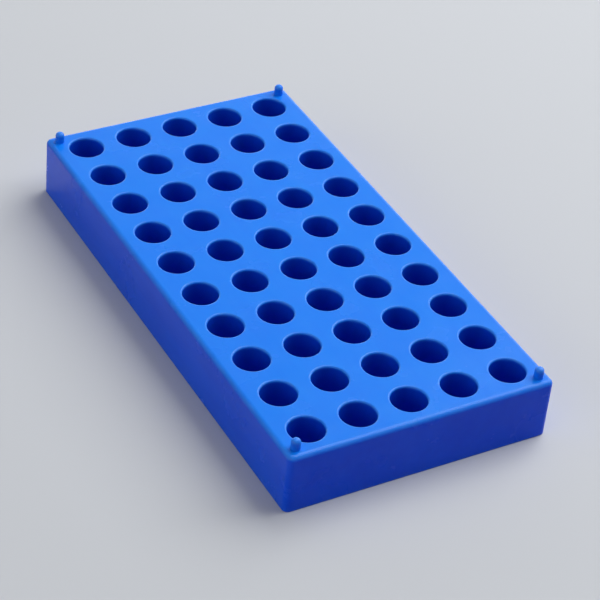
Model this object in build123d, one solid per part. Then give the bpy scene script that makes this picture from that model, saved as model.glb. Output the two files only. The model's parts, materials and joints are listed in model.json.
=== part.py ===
from build123d import *
import os

# A microcentrifuge tube rack, injection-moulded in one piece. A flat top plate carries a grid
# of blind cups that hang inside a straight skirt. The skirt is open underneath, and a small
# round-topped peg near each corner of the plate locates the skirt of a rack stacked above.
# Frame: origin at the centre of the base, X across the rack, Y along it, Z up. All in mm.

# The grid of wells
COLUMNS = 5
ROWS = 10
WELL_PITCH = 17.35
BORE_DIAMETER = 11.5
RIM_ROUND = 0.6

# The plate around the grid, from the bore of an outer well to the edge of the plate
SIDE_LAND = 5.05
END_LAND = 4.4
PLATE_THICKNESS = 1.8
RACK_HEIGHT = 21.0
CORNER_RADIUS = 2.0
EDGE_ROUND = 1.6

# Walls of the moulding
SKIRT_WALL = 1.5
SKIRT_FOOT_ROUND = 0.3
CUP_WALL = 1.1
CUP_FLOOR = 1.3
CUP_FOOT_ROUND = 0.8

# Stacking pegs
PEG_DIAMETER = 3.0
PEG_HEIGHT = 3.7
PEG_TIP_ROUND = 1.3
PEG_TO_SKIRT_CLEARANCE = 0.8
PEG_HEADROOM = 0.5

# Sizes that follow from the ones above
RACK_WIDTH = (COLUMNS - 1) * WELL_PITCH + BORE_DIAMETER + 2 * SIDE_LAND
RACK_LENGTH = (ROWS - 1) * WELL_PITCH + BORE_DIAMETER + 2 * END_LAND
CUP_DIAMETER = BORE_DIAMETER + 2 * CUP_WALL
CUP_FOOT_Z = PEG_HEIGHT + PEG_HEADROOM
WELL_FLOOR_Z = CUP_FOOT_Z + CUP_FLOOR
PLATE_UNDERSIDE_Z = RACK_HEIGHT - PLATE_THICKNESS
INNER_CORNER_RADIUS = CORNER_RADIUS - SKIRT_WALL
PEG_INSET = SKIRT_WALL + PEG_TO_SKIRT_CLEARANCE + PEG_DIAMETER / 2


def well_places(z):
    """The centre of every well, at height z."""
    return Pos(0, 0, z) * GridLocations(WELL_PITCH, WELL_PITCH, COLUMNS, ROWS)


def rounded_block(width, length, corner_radius, z_low, z_high):
    """A block centred on the Z axis with rounded upright corners."""
    outline = RectangleRounded(width, length, corner_radius)
    return Pos(0, 0, z_low) * extrude(outline, z_high - z_low)


def shell():
    """The top plate and the skirt, hollow and open underneath."""
    block = rounded_block(RACK_WIDTH, RACK_LENGTH, CORNER_RADIUS, 0, RACK_HEIGHT)
    top_edges = block.faces().sort_by(Axis.Z)[-1].edges()
    block = fillet(top_edges, EDGE_ROUND)
    hollow = rounded_block(
        RACK_WIDTH - 2 * SKIRT_WALL,
        RACK_LENGTH - 2 * SKIRT_WALL,
        INNER_CORNER_RADIUS,
        0,
        PLATE_UNDERSIDE_Z,
    )
    body = block - hollow
    foot_edges = body.faces().sort_by(Axis.Z)[0].edges()
    return fillet(foot_edges, SKIRT_FOOT_ROUND)


def cup():
    """The outside of one cup, from its rounded foot up into the plate."""
    height = PLATE_UNDERSIDE_Z + PLATE_THICKNESS / 2 - CUP_FOOT_Z
    body = Pos(0, 0, height / 2) * Cylinder(CUP_DIAMETER / 2, height)
    foot_edge = body.edges().sort_by(Axis.Z)[0]
    return fillet(foot_edge, CUP_FOOT_ROUND)


def bore():
    """The inside of one well, from its flat floor up to the top of the plate."""
    depth = RACK_HEIGHT - WELL_FLOOR_Z
    return Pos(0, 0, depth / 2) * Cylinder(BORE_DIAMETER / 2, depth)


def peg():
    """One stacking peg with a rounded tip."""
    body = Pos(0, 0, PEG_HEIGHT / 2) * Cylinder(PEG_DIAMETER / 2, PEG_HEIGHT)
    tip_edge = body.edges().sort_by(Axis.Z)[-1]
    return fillet(tip_edge, PEG_TIP_ROUND)


def tube_rack():
    """The whole moulding as one solid."""
    body = shell() + [place * cup() for place in well_places(CUP_FOOT_Z)]
    body -= [place * bore() for place in well_places(WELL_FLOOR_Z)]
    rims = [
        edge
        for edge in body.edges().filter_by(GeomType.CIRCLE)
        if abs(edge.center(CenterOf.GEOMETRY).Z - RACK_HEIGHT) < 1e-6
        and abs(edge.radius - BORE_DIAMETER / 2) < 1e-6
    ]
    body = fillet(rims, RIM_ROUND)
    peg_places = Pos(0, 0, RACK_HEIGHT) * GridLocations(
        RACK_WIDTH - 2 * PEG_INSET, RACK_LENGTH - 2 * PEG_INSET, 2, 2
    )
    return body + [place * peg() for place in peg_places]


os.makedirs("parts", exist_ok=True)
export_step(tube_rack(), "parts/tube_rack.step")
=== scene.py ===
import bpy
import bmesh
import json
import math
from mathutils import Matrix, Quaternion, Vector


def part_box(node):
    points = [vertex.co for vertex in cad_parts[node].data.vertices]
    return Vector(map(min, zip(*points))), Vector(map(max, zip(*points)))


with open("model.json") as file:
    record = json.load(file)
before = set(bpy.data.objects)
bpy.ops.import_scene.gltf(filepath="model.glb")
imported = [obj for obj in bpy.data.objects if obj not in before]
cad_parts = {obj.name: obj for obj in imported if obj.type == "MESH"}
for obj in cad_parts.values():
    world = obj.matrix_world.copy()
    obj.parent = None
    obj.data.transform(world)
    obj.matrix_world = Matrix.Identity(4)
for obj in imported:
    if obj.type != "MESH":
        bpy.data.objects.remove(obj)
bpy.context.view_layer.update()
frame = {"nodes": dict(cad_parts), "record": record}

MM = 0.001

# The camera stands to the rack's front left, looks down on it and is tipped a little to one side.
CAMERA_AZIMUTH = math.radians(-31.24)
CAMERA_ELEVATION = math.radians(36.9)
CAMERA_ROLL = math.radians(5.92)
CAMERA_DISTANCE = 725 * MM
CAMERA_TARGET = Vector((0, 0, 10.5)) * MM
CAMERA_AIM_RIGHT = 5.3 * MM
CAMERA_AIM_DOWN = 6.8 * MM
CAMERA_LENS_MM = 135
CAMERA_NEAREST = 10 * MM

# Colours, as sRGB hex: the moulding and where its pigment lies denser, the plate's top painted
# paler as painted light, the wells painted darker as painted shade, what is rubbed and the peg
# tips' painted highlight, the floor to the eye, the light it sends up, and the room
RACK_BLUE = "#0762EC"
RACK_BLUE_DEEP = "#055AE4"
# A paler blue painted on the plate's top as if lit from above: painted light.
RACK_BLUE_PAINTED_LIT_TOP = "#107DED"
# A darker blue painted in the wells: painted shade.
RACK_BLUE_PAINTED_WELL_SHADE = "#0448CC"
# A paler blue for the rubbed lips, edges and foot, and painted on the peg tips as a painted
# highlight.
RACK_BLUE_WORN_AND_HIGHLIGHT = "#3F8BF0"
FLOOR_PALE = "#C4C7CC"
FLOOR_BOUNCE = "#1C42B0"
ROOM_PALE = "#F4F6F9"

# Where each finish of the plastic starts, and where it is whole
# The top of the plate, painted paler there as painted light, and the band that the edges' wear is
# kept to.
LIT_TOP_AND_WORN_EDGE_UNDER_TOP = (1.6 * MM, 0.5 * MM)
# The wells, painted darker there as painted shade and made a little less rough.
WELL_SHADE_AND_POLISH_UNDER_TOP = (0.3 * MM, 1.0 * MM)
WELL_SHADE_AND_POLISH_PAST_BORE = (0.4 * MM, 0.1 * MM)
LIP_PAST_BORE = (0.8 * MM, 0.35 * MM)
EDGE_INSIDE_FACE = (1.5 * MM, 0.3 * MM)
FOOT_ABOVE_BENCH = (1.0 * MM, 0.2 * MM)
# A peg's tip is painted paler, as a painted highlight, from this far above the plate up, and this
# many times as strongly as the rubbed places.
PEG_HIGHLIGHT_ABOVE_PLATE = 2.0 * MM
PEG_HIGHLIGHT_STRENGTH = 1.8

# The sizes of the patterns in the plastic
CLOUD_SIZE = 16 * MM
STREAK_WIDTH = 2.5 * MM
STREAK_STRETCH = 0.1
WEAR_AND_HIGHLIGHT_PATCH_SIZE = 5 * MM
SMUDGE_SIZE = 14 * MM
WAVE_LENGTH = 9 * MM
WAVE_HEIGHT = 0.12 * MM
# The real grain is about 0.05 mm across, too fine to show, and is drawn coarser.
GRAIN_SIZE = 0.7 * MM
GRAIN_HEIGHT = 0.02 * MM

# How strongly they show: the streaks' share of the marbling, the least and most of the top's
# painted light, of rubbing and the peg tips' painted highlight, and of roughness, and how much
# less rough the polished wells are
STREAK_SHARE = 0.35
LIT_TOP_PAINT_STRENGTH = (0.6, 1.2)
WEAR_AND_HIGHLIGHT_STRENGTH = (0.1, 0.5)
SATIN_ROUGHNESS = (0.2, 0.3)
POLISHED_LESS_ROUGH = 0.05

# The floor reaches this far, is cut away this far inside the skirt's outer face, and fades into
# the room between the last two distances. All in metres.
FLOOR_HALF = 4.0
FLOOR_UNDER_SKIRT = 0.75 * MM
FLOOR_FADE_START = 0.14
FLOOR_FADE_END = 0.75

# The lamps' distance, in metres, and the strength of the room: as it looks, and the light that
# it gives from low down, from high up and from beneath the floor
SOFTBOX_DISTANCE = 1.5
ROOM_SEEN = 0.8
ROOM_LOW_LIGHT = 0.16
ROOM_HIGH_LIGHT = 0.06
ROOM_LIGHT_BENEATH = 0.7


def linear(hex_colour):
    """An sRGB hex colour as linear RGBA."""
    parts = [int(hex_colour[i : i + 2], 16) / 255 for i in (1, 3, 5)]
    return [c / 12.92 if c <= 0.04045 else ((c + 0.055) / 1.055) ** 2.4 for c in parts] + [1]


def add(tree, kind, inputs={}, **settings):
    """Adds a node with its settings. An input, by name or number, takes a value or is linked to
    the socket or node given for it."""
    node = tree.nodes.new(kind)
    for name, value in settings.items():
        setattr(node, name, value)
    named = {socket.name: socket for socket in reversed(node.inputs) if socket.enabled}
    for key, value in inputs.items():
        socket = named[key] if isinstance(key, str) else node.inputs[key]
        if isinstance(value, bpy.types.Node):
            value = next(out for out in value.outputs if out.enabled)
        if isinstance(value, bpy.types.NodeSocket):
            tree.links.new(value, socket)
        else:
            socket.default_value = value
    return node


def well_layout():
    """The wells' pitch, the first one's x and y, their radius and the plate's top, in metres."""
    mounts = frame["record"]["mounts"]
    wells = [mount for mount in mounts if mount["name"].startswith("well_")]
    across = sorted({mount["pos_m"][0] for mount in wells})
    along = sorted({mount["pos_m"][1] for mount in wells})
    plate = next(mount for mount in mounts if mount["name"] == "top_plate")
    radius = wells[0]["dims"]["r_mm"] * MM
    return across[1] - across[0], across[0], along[0], radius, plate["pos_m"][2]


def moulded_polypropylene():
    """Injection-moulded polypropylene, coloured through: satin and a little waxy to the eye. It
    has spark-eroded grain outside, glossier wells from polished core pins, with a darker blue
    painted in them as painted shade, and faint clouds and streaks where the melt ran round the
    pins. The plate's top is painted paler as painted light from above, the lips, edges and foot
    are rubbed paler, and the peg tips are painted paler as a painted highlight."""
    material = bpy.data.materials.new("moulded_polypropylene")
    material.use_nodes = True
    tree = material.node_tree
    tree.nodes.clear()

    low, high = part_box("tube_rack")
    pitch, first_x, first_y, bore, top = well_layout()

    place = add(tree, "ShaderNodeTexCoord").outputs["Object"]
    axes = add(tree, "ShaderNodeSeparateXYZ", {"Vector": place}).outputs
    beside = add(tree, "ShaderNodeMath", {0: axes["X"]}, operation="ABSOLUTE")
    along = add(tree, "ShaderNodeMath", {0: axes["Y"]}, operation="ABSOLUTE")

    # Distance from the axis of the nearest well: the ping-pong folds every cell onto one
    past_x = add(tree, "ShaderNodeMath", {0: axes["X"], 1: first_x}, operation="SUBTRACT")
    past_y = add(tree, "ShaderNodeMath", {0: axes["Y"], 1: first_y}, operation="SUBTRACT")
    from_x = add(tree, "ShaderNodeMath", {0: past_x, 1: pitch / 2}, operation="PINGPONG")
    from_y = add(tree, "ShaderNodeMath", {0: past_y, 1: pitch / 2}, operation="PINGPONG")
    across = add(tree, "ShaderNodeCombineXYZ", {"X": from_x, "Y": from_y})
    from_axis = add(tree, "ShaderNodeVectorMath", {0: across}, operation="LENGTH").outputs["Value"]

    # Where each finish lies: a measure, and the values at which it starts and is whole
    fades = {
        "plate": (axes["Z"], *(top - depth for depth in LIT_TOP_AND_WORN_EDGE_UNDER_TOP)),
        "below_lip": (axes["Z"], *(top - depth for depth in WELL_SHADE_AND_POLISH_UNDER_TOP)),
        "in_bore": (from_axis, *(bore + reach for reach in WELL_SHADE_AND_POLISH_PAST_BORE)),
        "lip": (from_axis, *(bore + reach for reach in LIP_PAST_BORE)),
        "side_edge": (beside, *(high.x - reach for reach in EDGE_INSIDE_FACE)),
        "end_edge": (along, *(high.y - reach for reach in EDGE_INSIDE_FACE)),
        "foot": (axes["Z"], *(low.z + height for height in FOOT_ABOVE_BENCH)),
        # The peg tips, painted paler as a painted highlight.
        "peg_tip": (axes["Z"], top + PEG_HIGHLIGHT_ABOVE_PLATE, high.z),
    }
    mask = {
        name: add(
            tree,
            "ShaderNodeMapRange",
            {"Value": measure, "From Min": start, "From Max": whole},
            interpolation_type="SMOOTHSTEP",
        )
        for name, (measure, start, whole) in fades.items()
    }
    mask["peg_tip"].inputs["To Max"].default_value = PEG_HIGHLIGHT_STRENGTH
    # In the wells: painted shade in the colour, and a lower roughness.
    polished_and_shaded_wells = add(
        tree, "ShaderNodeMath", {0: mask["in_bore"], 1: mask["below_lip"]}, operation="MULTIPLY"
    )
    outer_edge = add(
        tree, "ShaderNodeMath", {0: mask["side_edge"], 1: mask["end_edge"]}, operation="MAXIMUM"
    )
    edge = add(tree, "ShaderNodeMath", {0: outer_edge, 1: mask["lip"]}, operation="MAXIMUM")
    top_edge = add(tree, "ShaderNodeMath", {0: edge, 1: mask["plate"]}, operation="MULTIPLY")
    # The foot is rubbed paler; the peg tips are painted paler as a painted highlight.
    foot_and_peg_highlight = add(
        tree, "ShaderNodeMath", {0: mask["foot"], 1: mask["peg_tip"]}, operation="MAXIMUM"
    )
    handled_and_peg_highlight = add(tree, "ShaderNodeMath", {0: top_edge, 1: foot_and_peg_highlight}, operation="MAXIMUM")

    # Colour
    clouds = add(
        tree, "ShaderNodeTexNoise", {"Vector": place, "Scale": 1 / CLOUD_SIZE, "Detail": 3}
    ).outputs["Fac"]
    streak_place = add(
        tree, "ShaderNodeMapping", {"Vector": place, "Scale": (1, STREAK_STRETCH, 1)}
    )
    streaks = add(
        tree,
        "ShaderNodeTexNoise",
        {"Vector": streak_place, "Scale": 1 / STREAK_WIDTH, "Detail": 2},
    ).outputs["Fac"]
    marbling = add(tree, "ShaderNodeMix", {"Factor": STREAK_SHARE, "A": clouds, "B": streaks})
    depth = add(
        tree, "ShaderNodeMapRange", {"Value": marbling, "From Min": 0.35, "From Max": 0.65}
    )
    body_blue = add(
        tree,
        "ShaderNodeMix",
        {"Factor": depth, "A": linear(RACK_BLUE), "B": linear(RACK_BLUE_DEEP)},
        data_type="RGBA",
    )
    # The plate's top is painted paler as painted light, by an amount that follows the marbling.
    least, most = LIT_TOP_PAINT_STRENGTH
    lit_top_paint_amount = add(
        tree, "ShaderNodeMapRange", {"Value": marbling, "To Min": most, "To Max": least}
    )
    painted_lit_top = add(
        tree, "ShaderNodeMath", {0: mask["plate"], 1: lit_top_paint_amount}, operation="MULTIPLY"
    )
    outside = add(
        tree,
        "ShaderNodeMix",
        {"Factor": painted_lit_top, "A": body_blue, "B": linear(RACK_BLUE_PAINTED_LIT_TOP)},
        data_type="RGBA",
    )
    # The wells get a darker blue: painted shade.
    with_painted_well_shade = add(
        tree,
        "ShaderNodeMix",
        {"Factor": polished_and_shaded_wells, "A": outside, "B": linear(RACK_BLUE_PAINTED_WELL_SHADE)},
        data_type="RGBA",
    )
    wear_and_highlight_noise = add(
        tree, "ShaderNodeTexNoise", {"Vector": place, "Scale": 1 / WEAR_AND_HIGHLIGHT_PATCH_SIZE, "Detail": 4}
    ).outputs["Fac"]
    least, most = WEAR_AND_HIGHLIGHT_STRENGTH
    wear_and_highlight_amount = add(
        tree,
        "ShaderNodeMapRange",
        {"Value": wear_and_highlight_noise, "From Min": 0.35, "From Max": 0.7, "To Min": least, "To Max": most},
    )
    worn_and_highlit = add(tree, "ShaderNodeMath", {0: wear_and_highlight_amount, 1: handled_and_peg_highlight}, operation="MULTIPLY")
    # Paler on the rubbed lips, edges and foot, and on the peg tips as a painted highlight.
    colour = add(
        tree,
        "ShaderNodeMix",
        {"Factor": worn_and_highlit, "A": with_painted_well_shade, "B": linear(RACK_BLUE_WORN_AND_HIGHLIGHT)},
        data_type="RGBA",
    )

    # Roughness, a little lower in the polished wells
    smudges = add(
        tree, "ShaderNodeTexNoise", {"Vector": place, "Scale": 1 / SMUDGE_SIZE, "Detail": 4}
    ).outputs["Fac"]
    least, most = SATIN_ROUGHNESS
    satin = add(
        tree,
        "ShaderNodeMapRange",
        {"Value": smudges, "From Min": 0.3, "From Max": 0.7, "To Min": least, "To Max": most},
    )
    smoother = add(
        tree, "ShaderNodeMath", {0: polished_and_shaded_wells, 1: -POLISHED_LESS_ROUGH}, operation="MULTIPLY"
    )
    roughness = add(tree, "ShaderNodeMath", {0: satin, 1: smoother}, operation="ADD")

    # Bump: the slight waviness of a thin moulding, and its grain
    waviness = add(
        tree, "ShaderNodeTexNoise", {"Vector": place, "Scale": 1 / WAVE_LENGTH, "Detail": 1}
    ).outputs["Fac"]
    wavy = add(
        tree, "ShaderNodeBump", {"Height": waviness, "Strength": 1.0, "Distance": WAVE_HEIGHT}
    )
    grain = add(
        tree, "ShaderNodeTexNoise", {"Vector": place, "Scale": 1 / GRAIN_SIZE, "Detail": 2}
    ).outputs["Fac"]
    grained = add(
        tree,
        "ShaderNodeBump",
        {"Height": grain, "Strength": 1.0, "Distance": GRAIN_HEIGHT, "Normal": wavy},
    )

    shader = add(
        tree,
        "ShaderNodeBsdfPrincipled",
        {
            "Base Color": colour,
            "Roughness": roughness,
            "IOR": 1.49,
            "Specular IOR Level": 0.22,
            "Normal": grained,
            "Subsurface Weight": 0.12,
            "Subsurface Radius": (0.5, 0.8, 1.2),
            "Subsurface Scale": 1.0 * MM,
        },
    )
    add(tree, "ShaderNodeOutputMaterial", {"Surface": shader})
    return material


def seen(tree):
    """1 on the rays that show a surface or its mirror image, 0 on those that gather light."""
    ray = add(tree, "ShaderNodeLightPath").outputs
    first = add(
        tree,
        "ShaderNodeMath",
        {0: ray["Is Camera Ray"], 1: ray["Is Glossy Ray"]},
        operation="MAXIMUM",
    )
    return add(
        tree, "ShaderNodeMath", {0: first, 1: ray["Is Transmission Ray"]}, operation="MAXIMUM"
    )


def pale_laminate():
    """A matt pale laminate that keeps the rack's shadow. It shows from above only, fades into
    the room with distance, and sends up a bluish light, as another blue rack would."""
    material = bpy.data.materials.new("pale_laminate")
    material.use_nodes = True
    tree = material.node_tree
    tree.nodes.clear()
    looked_at = seen(tree)
    colour = add(
        tree,
        "ShaderNodeMix",
        {"Factor": looked_at, "A": linear(FLOOR_BOUNCE), "B": linear(FLOOR_PALE)},
        data_type="RGBA",
    )
    lit = add(tree, "ShaderNodeBsdfDiffuse", {"Color": colour})
    place = add(tree, "ShaderNodeTexCoord").outputs["Object"]
    away = add(tree, "ShaderNodeVectorMath", {0: place}, operation="LENGTH").outputs["Value"]
    far = add(
        tree,
        "ShaderNodeMapRange",
        {"Value": away, "From Min": FLOOR_FADE_START, "From Max": FLOOR_FADE_END},
        interpolation_type="SMOOTHSTEP",
    )
    faded = add(tree, "ShaderNodeMath", {0: far, 1: looked_at}, operation="MULTIPLY")
    room = add(tree, "ShaderNodeEmission", {"Color": linear(ROOM_PALE), "Strength": ROOM_SEEN})
    top = add(tree, "ShaderNodeMixShader", {"Fac": faded, 1: lit, 2: room})
    beneath = add(tree, "ShaderNodeBsdfTransparent")
    backfacing = add(tree, "ShaderNodeNewGeometry").outputs["Backfacing"]
    shader = add(tree, "ShaderNodeMixShader", {"Fac": backfacing, 1: top, 2: beneath})
    add(tree, "ShaderNodeOutputMaterial", {"Surface": shader})
    return material


def pale_floor():
    """A plain pale floor, cut away inside the skirt, so that the underside of the rack can be lit
    and looked at."""
    low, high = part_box("tube_rack")
    mesh = bmesh.new()
    bmesh.ops.create_grid(mesh, x_segments=1, y_segments=1, size=FLOOR_HALF)
    for cut, across in (
        (low.x + FLOOR_UNDER_SKIRT, Vector((1, 0, 0))),
        (high.x - FLOOR_UNDER_SKIRT, Vector((1, 0, 0))),
        (low.y + FLOOR_UNDER_SKIRT, Vector((0, 1, 0))),
        (high.y - FLOOR_UNDER_SKIRT, Vector((0, 1, 0))),
    ):
        whole = mesh.verts[:] + mesh.edges[:] + mesh.faces[:]
        bmesh.ops.bisect_plane(mesh, geom=whole, plane_co=across * cut, plane_no=across)
    under = [face for face in mesh.faces if face.calc_center_median().length < FLOOR_UNDER_SKIRT]
    bmesh.ops.delete(mesh, geom=under, context="FACES")
    floor = bpy.data.objects.new("floor", bpy.data.meshes.new("floor"))
    mesh.to_mesh(floor.data)
    mesh.free()
    floor.data.materials.append(pale_laminate())
    bpy.context.scene.collection.objects.link(floor)


def softbox(name, towards, elevation, size, strength):
    """A soft lamp that faces the rack. It stands towards an azimuth, in degrees round from +X.
    At a strength of 1, a white card held square to it at the rack renders white."""
    azimuth, elevation = math.radians(towards), math.radians(elevation)
    out = Vector(
        (
            math.cos(azimuth) * math.cos(elevation),
            math.sin(azimuth) * math.cos(elevation),
            math.sin(elevation),
        )
    )
    lamp = bpy.data.lights.new(name, "AREA")
    lamp.shape = "RECTANGLE"
    lamp.size, lamp.size_y = size
    lamp.energy = strength * (math.pi * SOFTBOX_DISTANCE) ** 2
    stand = bpy.data.objects.new(name, lamp)
    stand.location = out * SOFTBOX_DISTANCE
    stand.rotation_mode = "QUATERNION"
    stand.rotation_quaternion = (-out).to_track_quat("-Z", "Y")
    stand.visible_camera = False
    bpy.context.scene.collection.objects.link(stand)


def pale_room():
    """The room round the rack: even and pale to look at and in reflections, while the light it
    gives is dim, weaker from high up, and comes from beneath the floor as well."""
    world = bpy.data.worlds.new("pale_room")
    world.use_nodes = True
    tree = world.node_tree
    tree.nodes.clear()
    direction = add(tree, "ShaderNodeTexCoord").outputs["Generated"]
    height = add(tree, "ShaderNodeSeparateXYZ", {"Vector": direction}).outputs["Z"]
    above = add(
        tree,
        "ShaderNodeMapRange",
        {
            "Value": height,
            "From Min": 0.1,
            "From Max": 0.8,
            "To Min": ROOM_LOW_LIGHT,
            "To Max": ROOM_HIGH_LIGHT,
        },
        interpolation_type="SMOOTHSTEP",
    )
    beneath = add(tree, "ShaderNodeMath", {0: height, 1: 0.0}, operation="LESS_THAN")
    light = add(tree, "ShaderNodeMix", {"Factor": beneath, "A": above, "B": ROOM_LIGHT_BENEATH})
    strength = add(tree, "ShaderNodeMix", {"Factor": seen(tree), "A": light, "B": ROOM_SEEN})
    sky = add(tree, "ShaderNodeBackground", {"Color": linear(ROOM_PALE), "Strength": strength})
    add(tree, "ShaderNodeOutputWorld", {"Surface": sky})
    bpy.context.scene.world = world


def studio():
    """A large lamp high on the right, a weaker one overhead, a wide one low on the left that
    lifts the long wall, and a low wide one behind that picks out the rims, in a pale room."""
    softbox("right_softbox", towards=8, elevation=50, size=(1.5, 1.5), strength=1.22)
    softbox("top_softbox", towards=0, elevation=90, size=(1.2, 1.2), strength=0.2)
    softbox("left_softbox", towards=190, elevation=20, size=(2.2, 0.9), strength=0.34)
    softbox("back_softbox", towards=58.8, elevation=12, size=(3.0, 0.8), strength=0.4)
    pale_room()
    pale_floor()


def camera():
    """A camera at the rack's front left, aimed so that the rack fills the frame."""
    cos_up = math.cos(CAMERA_ELEVATION)
    back = Vector(
        (
            math.sin(CAMERA_AZIMUTH) * cos_up,
            -math.cos(CAMERA_AZIMUTH) * cos_up,
            math.sin(CAMERA_ELEVATION),
        )
    )
    tipped = Quaternion((0, 0, 1), CAMERA_ROLL)
    facing = (-back).to_track_quat("-Z", "Y") @ tipped
    place = CAMERA_TARGET + back * CAMERA_DISTANCE
    aim = CAMERA_TARGET + facing @ Vector((CAMERA_AIM_RIGHT, -CAMERA_AIM_DOWN, 0))
    made = bpy.data.objects.new("camera", bpy.data.cameras.new("camera"))
    made.data.lens = CAMERA_LENS_MM
    made.data.clip_start = CAMERA_NEAREST
    made.location = place
    made.rotation_mode = "QUATERNION"
    made.rotation_quaternion = (aim - place).to_track_quat("-Z", "Y") @ tipped
    bpy.context.scene.collection.objects.link(made)
    bpy.context.scene.camera = made


camera()
studio()
rack = frame["nodes"]["tube_rack"]
rack.data.materials.clear()
rack.data.materials.append(moulded_polypropylene())
bpy.context.scene.view_settings.view_transform = "Standard"
